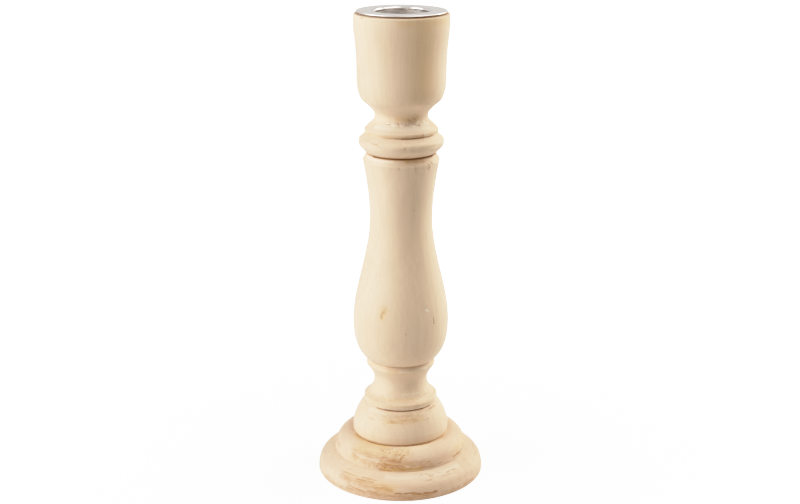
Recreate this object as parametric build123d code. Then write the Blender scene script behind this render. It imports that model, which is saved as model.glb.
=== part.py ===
from build123d import *
import os

# A turned wooden candlestick for one dinner candle. Five lathe-turned pieces of pale,
# unfinished wood stand on each other: a moulded base disc, a domed plinth, a spool with a
# ring, a vase-shaped baluster, and a socket whose bowl holds a drawn aluminium cup. Glued
# fluted dowels join the column, and one screw from below draws the base against it. The
# metal cup drops into its bore and lifts straight out for cleaning.
#
# The frame has its origin in the middle of the base's underside and +Z up the column.
# All sizes are in millimetres. Every outline is drawn as (radius, height) from the foot
# of its own piece, outside upwards, and turned about the Z axis.

# Main heights: the baluster takes what the other pieces leave
stand_height = 200.0
socket_height = 57.6
spool_height = 19.0
plinth_height = 14.0
base_height = 18.2

# Candle and the cup drawn for it
candle_diameter = 22.0
candle_clearance = 0.15
cup_depth = 22.0
cup_metal = 0.6
cup_lip_radius = 1.4
cup_floor_radius = 2.6
cup_edge_rounding = 0.25
cup_socket_clearance = 0.25
cup_floor_clearance = 1.4

# Dowels and their holes
dowel_radius = 5.0
dowel_clearance = 0.05
dowel_end_chamfer = 0.9
dowel_end_clearance = 1.0
dowel_flute_count = 14
dowel_flute_radius = 0.7
dowel_flute_depth = 0.35
dowel_depth_in_socket = 15.0
dowel_depth_in_head = 15.0
dowel_depth_in_foot = 16.0
dowel_depth_in_base = 9.0

# Screw that holds the base, and the holes it passes
screw_shank_radius = 2.0
screw_head_radius = 4.0
screw_length = 30.0
screw_tip_height = 4.0
screw_tip_radius = 0.4
screw_head_recess = 0.8
screw_clearance = 0.1
screw_recess_width = 0.9
screw_recess_span = 4.4
screw_recess_depth = 1.3

# Base disc: a barrelled band, a shallow lower ovolo, a quirk and an upper ovolo
base_radius = 36.2
base_foot_break = 0.25
base_band_height = 5.8
base_band_radius = 34.75
base_band_bulge = 0.3
base_slope_height = 4.25
base_slope_bulge = 0.45
base_step_radius = 28.6
base_quirk_height = 1.15
base_step_bulge = 1.2
base_shoulder_radius = 22.4

# Plinth: a short drum under a dome
plinth_radius = 20.65
plinth_wall_height = 3.4
plinth_top_radius = 15.6
plinth_dome_bulge = 0.78
plinth_edge_break = 0.3

# Spool: a ring, a deep cove and a thin cap
spool_foot_radius = 15.7
spool_foot_break = 0.3
spool_ring_radius = 16.0
spool_ring_height = 1.9
spool_arris_radius = 15.35
spool_arris_rise = 0.9
spool_slope_radius = 12.67
spool_slope_rise = 3.0
spool_neck_radius = 11.5
spool_neck_share = 0.474
spool_flare_radius = 12.72
spool_flare_share = 0.726
spool_cap_radius = 14.78
spool_cap_slope = 0.6
spool_cap_height = 0.7
spool_seat_radius = 13.8
spool_bevel_height = 1.5

# Baluster: a vase with its belly low down, a slim waist and a beaded head
baluster_foot_radius = 13.9
baluster_foot_slope = 2.0
baluster_haunch_radius = 18.0
baluster_haunch_height = 4.8
baluster_belly_radius = 20.46
baluster_belly_share = 0.182
baluster_flank_radius = 17.1
baluster_flank_share = 0.425
baluster_waist_radius = 13.2
baluster_waist_share = 0.7
baluster_shoulder_radius = 15.78
baluster_shoulder_height = 1.4
baluster_shoulder_slope = 0.19
baluster_bead_radius = 16.05
baluster_bead_height = 1.3
baluster_arris_radius = 15.4
baluster_arris_slope = -0.6
baluster_head_radius = 14.45
baluster_head_height = 1.7

# Socket: a collar of one bead and a fillet, a neck, and a bowl with a flared rim
collar_foot_radius = 14.6
collar_foot_slope = 1.1
collar_bead_radius = 17.82
collar_bead_rise = 4.7
collar_shoulder_radius = 16.85
collar_shoulder_rise = 1.9
collar_quirk_radius = 15.0
collar_quirk_rise = 1.9
collar_quirk_slope = -0.9
collar_fillet_radius = 15.32
collar_fillet_height = 1.9
collar_fillet_break = 0.45
collar_top_slope = -0.9
collar_slope_radius = 12.64
collar_slope_rise = 2.2
collar_hollow_rise = 2.7
neck_radius = 11.05
neck_height = 0.3
bowl_spring_radius = 11.75
bowl_spring_rise = 1.9
bowl_haunch_radius = 16.55
bowl_haunch_rise = 4.9
bowl_radius = 18.42
bowl_haunch_height = 9.5
bowl_wall_height = 2.1
flare_radius = 18.9
flare_share = 0.537
rim_radius = 19.7
rim_band_height = 3.8
rim_rounding = 0.6
rim_fall = 0.2
rim_reveal = 1.25
rim_crown_width = 2.4

# Slope of an outline where it runs straight up
upright = 0.0

# One overrun for every cut that has to pass a face
cut_overrun = 1.0

# Sizes that follow from those above
cup_inner_radius = candle_diameter / 2 + candle_clearance
cup_outer_radius = cup_inner_radius + cup_metal
cup_flange_radius = rim_radius - rim_reveal
socket_bore_radius = cup_outer_radius + cup_socket_clearance
socket_bore_depth = cup_depth + cup_metal + cup_floor_clearance
dowel_hole_radius = dowel_radius + dowel_clearance

# Heights of the feet that the pieces stand on
plinth_foot = base_height
spool_foot = plinth_foot + plinth_height
baluster_foot = spool_foot + spool_height
socket_foot = stand_height - socket_height
baluster_height = socket_foot - baluster_foot

# Heights within each piece, from its own foot
base_slope_top = base_band_height + base_slope_height
base_quirk_top = base_slope_top + base_quirk_height
spool_arris = spool_ring_height + spool_arris_rise
spool_slope = spool_arris + spool_slope_rise
spool_neck = spool_height * spool_neck_share
spool_flare = spool_height * spool_flare_share
spool_cap_top = spool_height - spool_bevel_height
spool_cap_foot = spool_cap_top - spool_cap_height
baluster_belly = baluster_height * baluster_belly_share
baluster_flank = baluster_height * baluster_flank_share
baluster_waist = baluster_height * baluster_waist_share
baluster_arris = baluster_height - baluster_head_height
baluster_bead = baluster_arris - baluster_bead_height
baluster_shoulder = baluster_bead - baluster_shoulder_height
collar_shoulder = collar_bead_rise + collar_shoulder_rise
collar_quirk = collar_shoulder + collar_quirk_rise
collar_fillet_top = collar_quirk + collar_fillet_height
collar_slope = collar_fillet_top + collar_slope_rise
neck_foot = collar_slope + collar_hollow_rise
neck_top = neck_foot + neck_height
bowl_spring = neck_top + bowl_spring_rise
bowl_haunch = bowl_spring + bowl_haunch_rise
bowl_wall_foot = bowl_haunch + bowl_haunch_height
bowl_wall_top = bowl_wall_foot + bowl_wall_height
rim_edge = socket_height - rim_fall - rim_rounding
rim_foot = rim_edge - rim_band_height
flare_height = bowl_wall_top + (rim_foot - bowl_wall_top) * flare_share


def smooth(points, start_slope, end_slope):
    """Curve through the points. A slope is the radius gained for each unit of height."""
    return Spline(*points, tangents=[(start_slope, 1), (end_slope, 1)])


def ovolo(start, end, bulge):
    """An arc that swells outwards by bulge, for an outline that runs upwards."""
    return SagittaArc(start, end, -bulge)


def turned(outline, top, foot):
    """Closes an outline along its foot, its top face and the axis, and turns it."""
    start, end = outline[0] @ 0, outline[-1] @ 1
    closing = [Line((0, 0), start), Line(end, (0, top)), Line((0, top), (0, 0))]
    face = make_face(outline + closing)
    return Pos(0, 0, foot) * revolve(Plane.XZ * face, Axis.Z)


def drilled(piece, radius, low, high):
    """The piece with a round hole on its axis from height low to height high."""
    drill = Cylinder(radius, high - low, align=(Align.CENTER, Align.CENTER, Align.MIN))
    return piece - Pos(0, 0, low) * drill


def candle_cup():
    """Aluminium cup drawn from sheet, open at the top, with a flat flange and rolled lip."""
    lip_under_radius = cup_lip_radius - cup_metal
    floor_inner_radius = cup_floor_radius - cup_metal
    outer_floor = -cup_depth - cup_metal
    edge = cup_flange_radius - cup_edge_rounding
    lip_edge = cup_inner_radius + cup_lip_radius
    outside = [
        Line((0, outer_floor), (cup_outer_radius - cup_floor_radius, outer_floor)),
        RadiusArc((cup_outer_radius - cup_floor_radius, outer_floor),
                  (cup_outer_radius, outer_floor + cup_floor_radius), -cup_floor_radius),
        Line((cup_outer_radius, outer_floor + cup_floor_radius),
             (cup_outer_radius, -lip_under_radius)),
        RadiusArc((cup_outer_radius, -lip_under_radius),
                  (cup_outer_radius + lip_under_radius, 0), lip_under_radius),
        Line((cup_outer_radius + lip_under_radius, 0), (edge, 0)),
        RadiusArc((edge, 0), (cup_flange_radius, cup_edge_rounding), -cup_edge_rounding),
        Line((cup_flange_radius, cup_edge_rounding),
             (cup_flange_radius, cup_metal - cup_edge_rounding)),
        RadiusArc((cup_flange_radius, cup_metal - cup_edge_rounding), (edge, cup_metal),
                  -cup_edge_rounding),
    ]
    inside = [
        Line((edge, cup_metal), (lip_edge, cup_metal)),
        RadiusArc((lip_edge, cup_metal), (cup_inner_radius, cup_metal - cup_lip_radius),
                  -cup_lip_radius),
        Line((cup_inner_radius, cup_metal - cup_lip_radius),
             (cup_inner_radius, floor_inner_radius - cup_depth)),
        RadiusArc((cup_inner_radius, floor_inner_radius - cup_depth),
                  (cup_inner_radius - floor_inner_radius, -cup_depth), floor_inner_radius),
        Line((cup_inner_radius - floor_inner_radius, -cup_depth), (0, -cup_depth)),
        Line((0, -cup_depth), (0, outer_floor)),
    ]
    face = make_face(outside + inside)
    return Pos(0, 0, stand_height) * revolve(Plane.XZ * face, Axis.Z)


def candle_socket():
    """Top piece, turned in one: collar bead and fillet, neck, bowl and flared rim."""
    fillet_inset = collar_fillet_radius - collar_fillet_break
    rim_inset = rim_radius - rim_rounding
    outline = [
        smooth([(collar_foot_radius, 0), (collar_bead_radius, collar_bead_rise),
                (collar_shoulder_radius, collar_shoulder),
                (collar_quirk_radius, collar_quirk)],
               collar_foot_slope, collar_quirk_slope),
        Line((collar_quirk_radius, collar_quirk),
             (collar_fillet_radius, collar_quirk + collar_fillet_break)),
        Line((collar_fillet_radius, collar_quirk + collar_fillet_break),
             (collar_fillet_radius, collar_fillet_top - collar_fillet_break)),
        Line((collar_fillet_radius, collar_fillet_top - collar_fillet_break),
             (fillet_inset, collar_fillet_top)),
        smooth([(fillet_inset, collar_fillet_top), (collar_slope_radius, collar_slope),
                (neck_radius, neck_foot)], collar_top_slope, upright),
        Line((neck_radius, neck_foot), (neck_radius, neck_top)),
        smooth([(neck_radius, neck_top), (bowl_spring_radius, bowl_spring),
                (bowl_haunch_radius, bowl_haunch), (bowl_radius, bowl_wall_foot)],
               upright, upright),
        Line((bowl_radius, bowl_wall_foot), (bowl_radius, bowl_wall_top)),
        smooth([(bowl_radius, bowl_wall_top), (flare_radius, flare_height),
                (rim_radius, rim_foot)], upright, upright),
        Line((rim_radius, rim_foot), (rim_radius, rim_edge)),
        RadiusArc((rim_radius, rim_edge), (rim_inset, rim_edge + rim_rounding),
                  -rim_rounding),
        Line((rim_inset, rim_edge + rim_rounding),
             (rim_radius - rim_crown_width, socket_height)),
    ]
    wood = turned(outline, socket_height, socket_foot)
    wood = drilled(wood, socket_bore_radius, stand_height - socket_bore_depth,
                   stand_height + cut_overrun)
    mouth = Cone(socket_bore_radius, socket_bore_radius + cup_lip_radius, cup_lip_radius,
                 align=(Align.CENTER, Align.CENTER, Align.MAX))
    wood -= Pos(0, 0, stand_height) * mouth
    return drilled(wood, dowel_hole_radius, socket_foot - cut_overrun,
                   socket_foot + dowel_depth_in_socket + dowel_end_clearance)


def baluster():
    """Long vase-shaped piece: low belly, slim waist, and a bead round its head."""
    outline = [
        smooth([(baluster_foot_radius, 0), (baluster_haunch_radius, baluster_haunch_height),
                (baluster_belly_radius, baluster_belly)],
               baluster_foot_slope, upright),
        smooth([(baluster_belly_radius, baluster_belly),
                (baluster_flank_radius, baluster_flank),
                (baluster_waist_radius, baluster_waist)], upright, upright),
        smooth([(baluster_waist_radius, baluster_waist),
                (baluster_shoulder_radius, baluster_shoulder)],
               upright, baluster_shoulder_slope),
        smooth([(baluster_shoulder_radius, baluster_shoulder),
                (baluster_bead_radius, baluster_bead),
                (baluster_arris_radius, baluster_arris)],
               baluster_shoulder_slope, baluster_arris_slope),
        Line((baluster_arris_radius, baluster_arris),
             (baluster_head_radius, baluster_height)),
    ]
    wood = turned(outline, baluster_height, baluster_foot)
    wood = drilled(wood, dowel_hole_radius, baluster_foot - cut_overrun,
                   baluster_foot + dowel_depth_in_foot + dowel_end_clearance)
    return drilled(wood, dowel_hole_radius,
                   socket_foot - dowel_depth_in_head - dowel_end_clearance,
                   socket_foot + cut_overrun)


def spool():
    """Short piece below the vase: a ring, a cove hollowed to the neck, and a thin cap."""
    outline = [
        Line((spool_foot_radius, 0), (spool_ring_radius, spool_foot_break)),
        Line((spool_ring_radius, spool_foot_break), (spool_ring_radius, spool_ring_height)),
        smooth([(spool_ring_radius, spool_ring_height), (spool_arris_radius, spool_arris),
                (spool_slope_radius, spool_slope), (spool_neck_radius, spool_neck)],
               upright, upright),
        smooth([(spool_neck_radius, spool_neck), (spool_flare_radius, spool_flare),
                (spool_cap_radius, spool_cap_foot)], upright, spool_cap_slope),
        Line((spool_cap_radius, spool_cap_foot), (spool_cap_radius, spool_cap_top)),
        Line((spool_cap_radius, spool_cap_top), (spool_seat_radius, spool_height)),
    ]
    wood = turned(outline, spool_height, spool_foot)
    return drilled(wood, dowel_hole_radius, spool_foot - cut_overrun,
                   baluster_foot + cut_overrun)


def plinth():
    """Drum with a domed top that carries the column."""
    outline = [
        Line((plinth_radius - plinth_edge_break, 0), (plinth_radius, plinth_edge_break)),
        Line((plinth_radius, plinth_edge_break), (plinth_radius, plinth_wall_height)),
        ovolo((plinth_radius, plinth_wall_height), (plinth_top_radius, plinth_height),
              plinth_dome_bulge),
    ]
    wood = turned(outline, plinth_height, plinth_foot)
    return drilled(wood, dowel_hole_radius, plinth_foot - cut_overrun,
                   spool_foot + cut_overrun)


def base():
    """Disc cut from a plank, its edge turned to a band, two ovolos and a quirk."""
    outline = [
        Line((base_radius - base_foot_break, 0), (base_radius, base_foot_break)),
        ovolo((base_radius, base_foot_break), (base_band_radius, base_band_height),
              base_band_bulge),
        ovolo((base_band_radius, base_band_height), (base_step_radius, base_slope_top),
              base_slope_bulge),
        Line((base_step_radius, base_slope_top), (base_step_radius, base_quirk_top)),
        ovolo((base_step_radius, base_quirk_top), (base_shoulder_radius, base_height),
              base_step_bulge),
    ]
    wood = turned(outline, base_height, 0)
    wood = drilled(wood, dowel_hole_radius,
                   base_height - dowel_depth_in_base - dowel_end_clearance,
                   base_height + cut_overrun)
    wood = drilled(wood, screw_shank_radius + screw_clearance, -cut_overrun, base_height)
    cone_radius = screw_head_radius + screw_head_recess + screw_clearance
    countersink = Cone(cone_radius, 0, cone_radius,
                       align=(Align.CENTER, Align.CENTER, Align.MIN))
    return wood - countersink


def fluted_dowel(length, low):
    """Beech dowel pin from height low: straight glue flutes round it, both ends chamfered."""
    pin = Cylinder(dowel_radius, length, align=(Align.CENTER, Align.CENTER, Align.MIN))
    pin = chamfer(pin.edges().filter_by(GeomType.CIRCLE), dowel_end_chamfer)
    flute = Cylinder(dowel_flute_radius, length,
                     align=(Align.CENTER, Align.CENTER, Align.MIN))
    reach = dowel_radius + dowel_flute_radius - dowel_flute_depth
    flutes = PolarLocations(reach, dowel_flute_count) * flute
    return Pos(0, 0, low) * (pin - flutes)


def upper_dowel():
    """Pin between the baluster's head and the socket's collar."""
    return fluted_dowel(dowel_depth_in_head + dowel_depth_in_socket,
                        socket_foot - dowel_depth_in_head)


def lower_dowel():
    """Long pin that threads plinth and spool between the base and the baluster."""
    low = base_height - dowel_depth_in_base
    high = baluster_foot + dowel_depth_in_foot
    return drilled(fluted_dowel(high - low, low), screw_shank_radius + screw_clearance,
                   low - cut_overrun, screw_head_recess + screw_length + screw_clearance)


def base_screw():
    """Countersunk steel wood screw from below, its shank in the long dowel's end."""
    head_height = screw_head_radius - screw_shank_radius
    tip = screw_length - screw_tip_height
    outline = [
        Line((screw_head_radius, 0), (screw_shank_radius, head_height)),
        Line((screw_shank_radius, head_height), (screw_shank_radius, tip)),
        Line((screw_shank_radius, tip), (screw_tip_radius, screw_length)),
    ]
    steel = turned(outline, screw_length, screw_head_recess)
    slot = Box(screw_recess_span, screw_recess_width, screw_recess_depth,
               align=(Align.CENTER, Align.CENTER, Align.MIN))
    cross = slot + Rot(0, 0, 90) * slot
    return steel - Pos(0, 0, screw_head_recess) * cross


pieces = {
    "candle_cup": candle_cup(),
    "candle_socket": candle_socket(),
    "upper_dowel": upper_dowel(),
    "baluster": baluster(),
    "spool": spool(),
    "plinth": plinth(),
    "lower_dowel": lower_dowel(),
    "base": base(),
    "base_screw": base_screw(),
}

os.makedirs("parts", exist_ok=True)
for name, piece in pieces.items():
    export_step(piece, f"parts/{name}.step")
print("height to the top of the cup", stand_height + cup_metal, "mm")
print("cup is clear of its bore after a lift of", cup_depth + cup_metal, "mm")
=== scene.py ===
import math
import bpy
import numpy as np
from mathutils import Euler, Matrix, Vector
from mathutils.geometry import interpolate_bezier


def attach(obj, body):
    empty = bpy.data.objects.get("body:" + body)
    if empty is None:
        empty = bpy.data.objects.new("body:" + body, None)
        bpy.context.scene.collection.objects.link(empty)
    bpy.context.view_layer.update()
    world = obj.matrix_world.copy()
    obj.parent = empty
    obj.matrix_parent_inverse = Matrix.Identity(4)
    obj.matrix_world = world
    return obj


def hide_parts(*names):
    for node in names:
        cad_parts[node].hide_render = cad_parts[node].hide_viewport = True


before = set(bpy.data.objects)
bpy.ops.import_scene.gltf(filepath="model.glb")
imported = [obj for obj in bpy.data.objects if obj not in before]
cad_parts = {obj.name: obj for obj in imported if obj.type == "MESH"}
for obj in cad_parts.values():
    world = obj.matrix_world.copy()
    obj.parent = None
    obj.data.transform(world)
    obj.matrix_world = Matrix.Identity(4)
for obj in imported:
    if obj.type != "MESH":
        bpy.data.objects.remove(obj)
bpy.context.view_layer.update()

# Base disc. Sawn from a poplar plank with the grain lying along X, drilled in the middle,
# and turned between centres: a barrelled edge runs over into a shallow slope, then a
# groove, then a quarter round up to the seat of the plinth. Sanded, never sealed.

millimetre = 0.001
weld = millimetre / 1000


def outline_through(marks, spacing):
    """Half a section in mm, as a list of points. A mark is (radius, height), with the cut's
    direction in degrees where it passes smoothly, or two of them where it turns a corner."""
    points = [Vector((marks[0][0], marks[0][1], 0))]
    for here, there in zip(marks[:-1], marks[1:]):
        start, end = Vector((here[0], here[1], 0)), Vector((there[0], there[1], 0))
        leave, arrive = here[-1] if len(here) > 2 else None, there[2] if len(there) > 2 else None
        if leave is None or arrive is None:
            points.append(end)
            continue
        turn = math.radians(arrive - leave)
        reach = (end - start).length / 3 / math.cos(turn / 4) ** 2
        handles = [Vector((math.cos(a), math.sin(a), 0)) * reach
                   for a in (math.radians(leave), math.radians(arrive))]
        steps = max(3, round((end - start).length / spacing) + 1)
        points += interpolate_bezier(start, start + handles[0], end - handles[1], end, steps)[1:]
    return [(p.x, p.y) for p in points]


def turn_piece(name, foot, marks, facets=256, spacing=0.4):
    """A turned piece: one point is extruded along the outline and run round the lathe's axis."""
    points = outline_through(marks, spacing)
    bpy.ops.object.select_all(action="DESELECT")
    bpy.ops.mesh.primitive_plane_add(
        size=millimetre,
        location=(points[0][0] * millimetre, 0, (foot + points[0][1]) * millimetre))
    piece = bpy.context.object
    piece.name = piece.data.name = name
    bpy.ops.object.mode_set(mode="EDIT")
    bpy.ops.mesh.select_all(action="SELECT")
    bpy.ops.mesh.merge(type="CENTER")
    for (r0, z0), (r1, z1) in zip(points[:-1], points[1:]):
        bpy.ops.mesh.extrude_region_move(TRANSFORM_OT_translate={
            "value": ((r1 - r0) * millimetre, 0, (z1 - z0) * millimetre)})
    bpy.ops.mesh.select_all(action="SELECT")
    bpy.ops.mesh.remove_doubles(threshold=weld)
    bpy.ops.object.mode_set(mode="OBJECT")
    bpy.ops.object.transform_apply(location=True, rotation=True, scale=True)
    lathe = piece.modifiers.new("lathe", "SCREW")
    lathe.steps = lathe.render_steps = facets
    lathe.use_merge_vertices = True
    lathe.merge_threshold = weld
    bpy.ops.object.modifier_apply(modifier=lathe.name)
    bpy.ops.object.mode_set(mode="EDIT")
    bpy.ops.mesh.select_all(action="SELECT")
    bpy.ops.mesh.remove_doubles(threshold=weld)
    bpy.ops.mesh.normals_make_consistent(inside=False)
    bpy.ops.object.mode_set(mode="OBJECT")
    return piece


def distance_to(piece, start, end, reach):
    """How far each vertex is, in mm, from a line drawn on a piece between two places. A
    place is its azimuth in degrees from the front, its radius and its height in mm. What
    lies further than the reach above or below the line counts as endlessly far."""
    flat = np.empty(len(piece.data.vertices) * 3, np.float32)
    piece.data.vertices.foreach_get("co", flat)
    spots = flat.reshape(-1, 3).astype(float) / millimetre
    if end[0] - start[0] == 360:
        return np.hypot(np.hypot(spots[:, 0], spots[:, 1]) - start[1], spots[:, 2] - start[2])
    degrees_per_step = 5
    count = 2 + round(abs(end[0] - start[0]) / degrees_per_step)
    steps = np.linspace(0, 1, count)[:, None]
    azimuth, radius, height = (np.array(start) + (np.array(end) - np.array(start)) * steps).T
    azimuth = np.radians(azimuth)
    line = np.stack([radius * np.sin(azimuth), -radius * np.cos(azimuth), height], 1)
    nearest = np.full(len(spots), np.inf)
    level = np.abs(spots[:, 2] - (start[2] + end[2]) / 2) < abs(start[2] - end[2]) / 2 + reach
    spots = spots[level]
    for here, there in zip(line[:-1], line[1:]):
        run = there - here
        share = np.clip((spots - here) @ run / max(run @ run, 1e-9), 0, 1)
        nearest[level] = np.minimum(
            nearest[level], np.linalg.norm(spots - here - share[:, None] * run, axis=1))
    return nearest


def take(piece):
    """Selects just this piece and makes it the active one."""
    bpy.ops.object.select_all(action="DESELECT")
    piece.select_set(True)
    bpy.context.view_layer.objects.active = piece


def select_vertices(piece, chosen):
    """Selects just these vertices, in edit mode."""
    take(piece)
    bpy.ops.object.mode_set(mode="EDIT")
    bpy.ops.mesh.select_mode(type="VERT")
    bpy.ops.mesh.select_all(action="DESELECT")
    bpy.ops.object.mode_set(mode="OBJECT")
    piece.data.vertices.foreach_set("select", chosen)
    bpy.ops.object.mode_set(mode="EDIT")


def alike(half_width, strength, lines):
    """Marks of one half width and strength, along these lines or along other marks."""
    return [(*line[:2], half_width, strength) for line in lines]


def ring(radius, height, half_width, strength):
    """A mark all the way round a piece."""
    return (-180, radius, height), (180, radius, height), half_width, strength


def strokes(seed, count, low, high, length, lean, half_width, strength):
    """Marks strewn over the area between two places: short strokes of 0.4 to 1.6 times this
    length in mm round the piece, which lean across it by up to 1.4 times this share of it."""
    dice = np.random.default_rng(seed)
    low, high = np.array(low, float), np.array(high, float)
    across = np.linalg.norm((high - low)[1:])
    marks = []
    for _ in range(count):
        size = length * (0.4 + 1.2 * dice.random())
        start = low + (high - low) * dice.random(3)[[0, 1, 1]]
        end = start + (high - low) * lean * size / across * (2 * dice.random() - 0.6)
        end[0] = start[0] + math.degrees(size / start[1])
        marks.append((tuple(start), tuple(end), half_width, strength))
    return marks


def near_marks(piece, marks, share, margin):
    """Which vertices lie within a share of a mark's half width and a margin in mm of it."""
    near = np.zeros(len(piece.data.vertices), bool)
    for start, end, half_width, _ in marks:
        limit = share * half_width + margin
        near |= distance_to(piece, start, end, limit) < limit
    return near


def refine(piece, marks):
    """Divides the faces on marks and 0.5 mm round them, so that they can take small shapes."""
    select_vertices(piece, near_marks(piece, marks, share=1, margin=0.5))
    bpy.ops.mesh.subdivide(number_cuts=2)
    bpy.ops.object.mode_set(mode="OBJECT")


def dent(piece, marks):
    """Presses slits and pits into a piece along lines. A mark is the line's two ends, its
    half width and its depth in mm, and a depth below zero raises the fibres."""
    for half_width, depth in dict.fromkeys(mark[2:] for mark in marks):
        same = [mark for mark in marks if mark[2:] == (half_width, depth)]
        select_vertices(piece, near_marks(piece, same, share=0, margin=0.14))
        bpy.ops.transform.shrink_fatten(
            value=-depth * millimetre, use_proportional_edit=True,
            proportional_edit_falloff="SMOOTH", proportional_size=half_width * millimetre)
        bpy.ops.object.mode_set(mode="OBJECT")


def tear(piece, marks):
    """Roughens the wood where the tool tore it: fibres stand up or are missing by 0.02 mm."""
    dice = np.random.default_rng(len(marks))
    torn = np.zeros(len(piece.data.vertices), bool)
    for start, end, half_width, _ in marks:
        torn |= distance_to(piece, start, end, half_width) < half_width * dice.random(len(torn))
    select_vertices(piece, torn)
    bpy.ops.transform.vertex_random(offset=0.02 * millimetre, normal=0.9, seed=3)
    bpy.ops.object.mode_set(mode="OBJECT")


def paint_layer(piece, layer, marks):
    """Paints marks, and painted light and shade, into a layer that the wood's material reads. A
    mark is a line's two ends, its half width in mm, and its strength."""
    shade = np.zeros(len(piece.data.vertices))
    for start, end, half_width, strength in marks:
        near = distance_to(piece, start, end, 3 * half_width) / half_width
        shade = np.maximum(shade, strength * np.exp(-near ** 2))
    painted = piece.data.attributes.new(layer, "FLOAT", "POINT")
    painted.data.foreach_set("value", shade.astype(np.float32))


def linear(code):
    """An sRGB hex colour as the linear values that a shader takes."""
    parts = [int(code[i:i + 2], 16) / 255 for i in (0, 2, 4)]
    return [c / 12.92 if c <= 0.04045 else ((c + 0.055) / 1.055) ** 2.4 for c in parts] + [1]


def add_node(material, kind, settings=None, **links):
    """Adds a node with its own settings, and fills inputs with values or other outputs.
    An input is given by its name, with _ for a space, or as in_ and its number."""
    made = material.node_tree.nodes.new("ShaderNode" + kind)
    for setting, value in (settings or {}).items():
        setattr(made, setting, value)
    for key, value in links.items():
        number = key[3:] if key.startswith("in_") else ""
        socket = made.inputs[int(number) if number else key.replace("_", " ")]
        if isinstance(value, bpy.types.NodeSocket):
            material.node_tree.links.new(value, socket)
        else:
            socket.default_value = value
    return made


def blank_material(name):
    """A new material with no nodes in it yet."""
    made = bpy.data.materials.new(name)
    made.use_nodes = True
    made.node_tree.nodes.clear()
    return made


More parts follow.
